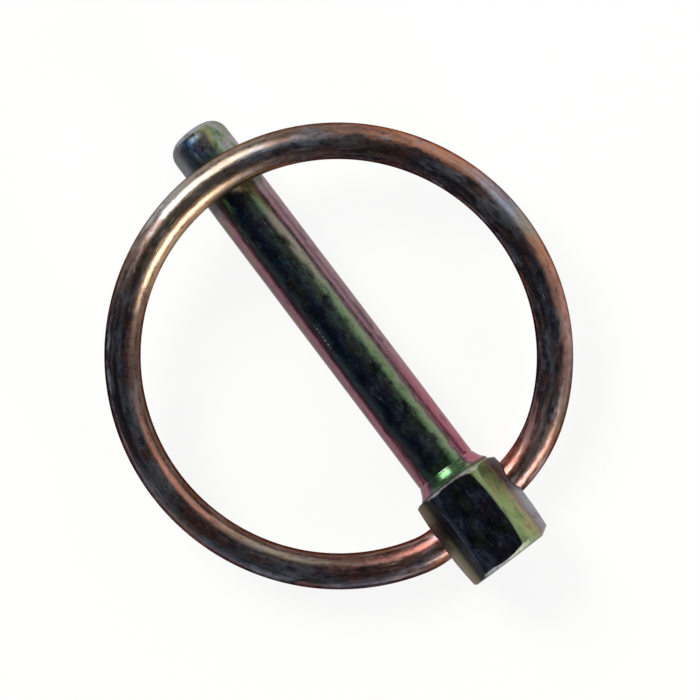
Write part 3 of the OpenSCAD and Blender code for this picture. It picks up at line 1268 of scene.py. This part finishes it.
    def material(self, ring: "SprungRing") -> bpy.types.Material:
        """Makes the plating.

        Args:
            ring: The piece that it is on, for its sizes.

        Returns:
            The material.
        """
        material, sheet = self.new_sheet("ring_plating")
        x, y, z = sheet.axes(self.own_frame(sheet, ring.layout.ring))
        along = sheet.math("ARCTAN2", x, y)
        across = sheet.length(x, y) - ring.ring_r
        lean = sheet.math("ARCTAN2", across, z) / QUARTER_TURN
        wire = {"X": along * ring.ring_r, "Y": across, "Z": z}
        place = sheet.node("ShaderNodeCombineXYZ", None, wire)["Vector"]
        clouds = (self.cloud, self.patch, self.blot, self.streak, self.grain)
        cloud, patch, blot, streak, grain = (sheet.noise(place, c) for c in clouds)
        turn = sheet.stir(along / (2 * math.pi) + self.turn_start, zip((cloud, blot), self.turn_push))
        side = sheet.stir(sheet.math("PINGPONG", abs(lean), 1.0), zip((cloud, blot), self.side_push))
        glow = sheet.ease(turn, *self.glow_starts) * sheet.ease(turn, *self.glow_ends)
        marks = self.scratches(sheet, place)
        reads = {
            Read.TURN: turn,
            Read.FROM_TIP: abs(along),
            Read.ABOVE: z,
            Read.WAVY: sheet.stir(lean, [(blot, self.lean_push)]),
            Read.NEAR_HEAD: sheet.ease(abs(along), *self.head_nears),
            Read.CALM: sheet.ease(side, *self.calm_fades) * (1 - glow * self.glow_calm),
            Read.BLOT: blot,
            Read.GRAIN: grain,
            Read.PATCH: patch,
            Read.STREAK: streak,
            Read.MARKS: marks,
        }

        inner, crown, outer = (self._row(sheet, turn, row) for row in (self.inner_side, self.crown, self.outer_side))
        flank = sheet.mix(sheet.ease(lean, *self.sides_meet), inner, outer)
        colour = sheet.mix(sheet.ease(side, *self.crown_ends), crown, flank)
        colour = sheet.lay(colour, self.coats, reads)
        rough = sheet.stir(self.roughness, zip((blot, streak, grain), self.rough_push)) + marks * self.mark_rough
        self.finish(sheet, colour, rough, sheet.total(reads, self.height_weights))
        return material

    @staticmethod
    def _row(sheet: Sheet, turn: Shade, row: Stretches) -> Shade:
        """Reads the film's colour off a row of stretches round the ring."""
        return sheet.ramp(turn, [(place, tone.value) for place, tone in row])


@dataclass(frozen=True)
class PaperFloor:
    """Plain white paper that keeps the shadow."""

    colour: Colour = (0.86, 0.86, 0.86)
    glow: float = 1.07
    glow_share: float = 0.82

    def material(self) -> bpy.types.Material:
        """Makes the paper: lit as a matt sheet, and white where the camera or the metal looks at it.

        Returns:
            The material.
        """
        material, sheet = Plating.new_sheet("floor_paper")
        rays = sheet.node("ShaderNodeLightPath")
        seen = sheet.math("ADD", rays["Is Camera Ray"], rays["Is Glossy Ray"], clamp=True)
        seen = sheet.math("ADD", seen, rays["Is Transmission Ray"], clamp=True)
        paper = sheet.node("ShaderNodeBsdfDiffuse", None, {"Color": (*self.colour, 1.0)})["BSDF"]
        glow = sheet.node("ShaderNodeEmission", None, {"Color": WHITE, "Strength": self.glow})["Emission"]
        sockets = {"Fac": seen * self.glow_share, "Shader": paper, "Shader_001": glow}
        mixed = sheet.node("ShaderNodeMixShader", None, sockets)
        sheet.node("ShaderNodeOutputMaterial", None, {"Surface": mixed["Shader"]})
        return material


@dataclass(frozen=True)
class SoftBox:
    """A soft light round the table. Angles in degrees, distance and sizes in metres."""

    name: Lamp
    azimuth: float
    height: float
    distance: float
    width: float
    depth: float
    power: float
    colour: Colour

    def build(self, middle: Vector) -> None:
        """Hangs the light so that it looks at the object.

        Args:
            middle: Middle of the object.
        """
        light = bpy.data.lights.new(self.name.value, "AREA")
        light.shape = "RECTANGLE"
        light.size, light.size_y = self.width, self.depth
        light.energy = self.power
        light.color = self.colour
        lamp = bpy.data.objects.new(self.name.value, light)
        bpy.context.scene.collection.objects.link(lamp)
        azimuth, height = math.radians(self.azimuth), math.radians(self.height)
        out = math.cos(height)
        away = Vector((math.cos(azimuth) * out, math.sin(azimuth) * out, math.sin(height)))
        lamp.location = middle + away * self.distance
        lamp.rotation_euler = away.to_track_quat("Z", "Y").to_euler()


@dataclass(frozen=True)
class Set:
    """Floor, lights, room and camera. Camera lengths in millimetres, angles in degrees, the rest in metres."""

    aim: Triple = (2.549, 0.0, -0.068)
    distance: float = 300.0
    lens: float = 164.98
    sensor: float = 36.0
    clip: Span = (0.01, 10.0)
    lean_x: float = -4.0
    lean_y: float = 4.0
    spin: float = 127.475
    slide: Span = (-2.347, 3.749)
    floor_size: float = 4.0
    overhead: float = 0.07
    walls: tuple[float, ...] = (0.5, -0.5, 0.16, 0.40)
    walls_rise: Span = (0.80, 0.30)
    boxes: tuple[SoftBox, ...] = (
        SoftBox(Lamp.TIP_SIDE, 7.0, 43.0, 0.5, 0.26, 0.24, 1.8, (1.0, 0.97, 0.92)),
        SoftBox(Lamp.HEAD_SIDE, 188.0, 14.0, 0.5, 0.28, 0.18, 1.6, (1.0, 0.97, 0.92)),
        SoftBox(Lamp.NARROW_SIDE, 278.0, 30.0, 0.5, 0.60, 0.36, 0.40, (0.97, 1.0, 0.97)),
    )

    def floor(self) -> None:
        """Lays the floor under the object."""
        Bench.clear()
        bpy.ops.mesh.primitive_plane_add(size=self.floor_size, location=(0, 0, CAD_BOX[0].z))
        floor = Bench.take("paper_floor")
        floor.data.materials.append(PaperFloor().material())

    def room(self) -> None:
        """Makes the room: dark overhead, dim round the walls, and white where the camera sees past the floor."""
        world = bpy.data.worlds.new("room")
        world.use_nodes = True
        bpy.context.scene.world = world
        sheet = Sheet(world.node_tree)
        _, y, z = sheet.axes(sheet.node("ShaderNodeTexCoord")["Generated"])
        level = self.overhead + sheet.ease(z, *self.walls_rise) * sheet.ease(y, *self.walls)
        seen = sheet.node("ShaderNodeLightPath")["Is Camera Ray"]
        sockets = {"Factor_Float": seen, "A_Float": level, "B_Float": 1.0}
        strength = sheet.node("ShaderNodeMix", {"data_type": "FLOAT"}, sockets)["Result_Float"]
        back = sheet.node("ShaderNodeBackground", None, {"Color": WHITE, "Strength": strength})
        sheet.node("ShaderNodeOutputWorld", None, {"Surface": back["Background"]})

    def camera(self) -> None:
        """Sets up the camera where the photographer stood."""
        data = bpy.data.cameras.new("camera")
        data.sensor_width = self.sensor
        data.lens = self.lens
        data.clip_start, data.clip_end = self.clip
        camera = bpy.data.objects.new("camera", data)
        bpy.context.scene.collection.objects.link(camera)
        view = Layout.turn(self.spin, "Z") @ Layout.turn(self.lean_x, "X") @ Layout.turn(self.lean_y, "Y")
        facing = view.transposed()
        away = facing @ Vector((-self.slide[0], -self.slide[1], self.distance))
        camera.rotation_euler = facing.to_euler()
        camera.location = (Vector(self.aim) + away) * MM
        bpy.context.scene.camera = camera

    def build(self) -> None:
        """Builds the whole set."""
        self.floor()
        self.room()
        self.camera()
        for box in self.boxes:
            box.build((CAD_BOX[0] + CAD_BOX[1]) / 2)
        bpy.context.scene.view_settings.view_transform = "Standard"


def report(piece: bpy.types.Object, node: str) -> None:
    """Logs a piece's faces, and how far its box is inside the CAD node's.

    Args:
        piece: Finished piece.
        node: CAD node that it stands for.
    """
    low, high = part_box(node)
    sides = list(zip(*piece.bound_box))
    gaps = [min(side) - edge for side, edge in zip(sides, low)] + [edge - max(side) for side, edge in zip(sides, high)]
    gaps_mm = [round(gap / MM, 3) for gap in gaps]
    LOG.info("%s: %d faces, box inside the CAD's by %s mm", piece.name, len(piece.data.polygons), gaps_mm)


def main() -> None:
    """Builds the pin, the ring and the set."""
    logging.basicConfig(level=logging.INFO, format="%(name)s: %(message)s")
    layout = Layout()
    turned_pin = TurnedPin(layout)
    pin = turned_pin.build()
    turned_pin.dress(pin, PinPlating())
    report(pin, "pin")
    sprung_ring = SprungRing(layout)
    ring = sprung_ring.build()
    sprung_ring.dress(ring, RingPlating())
    report(ring, "ring")
    Set().build()


if __name__ == "__main__":
    main()
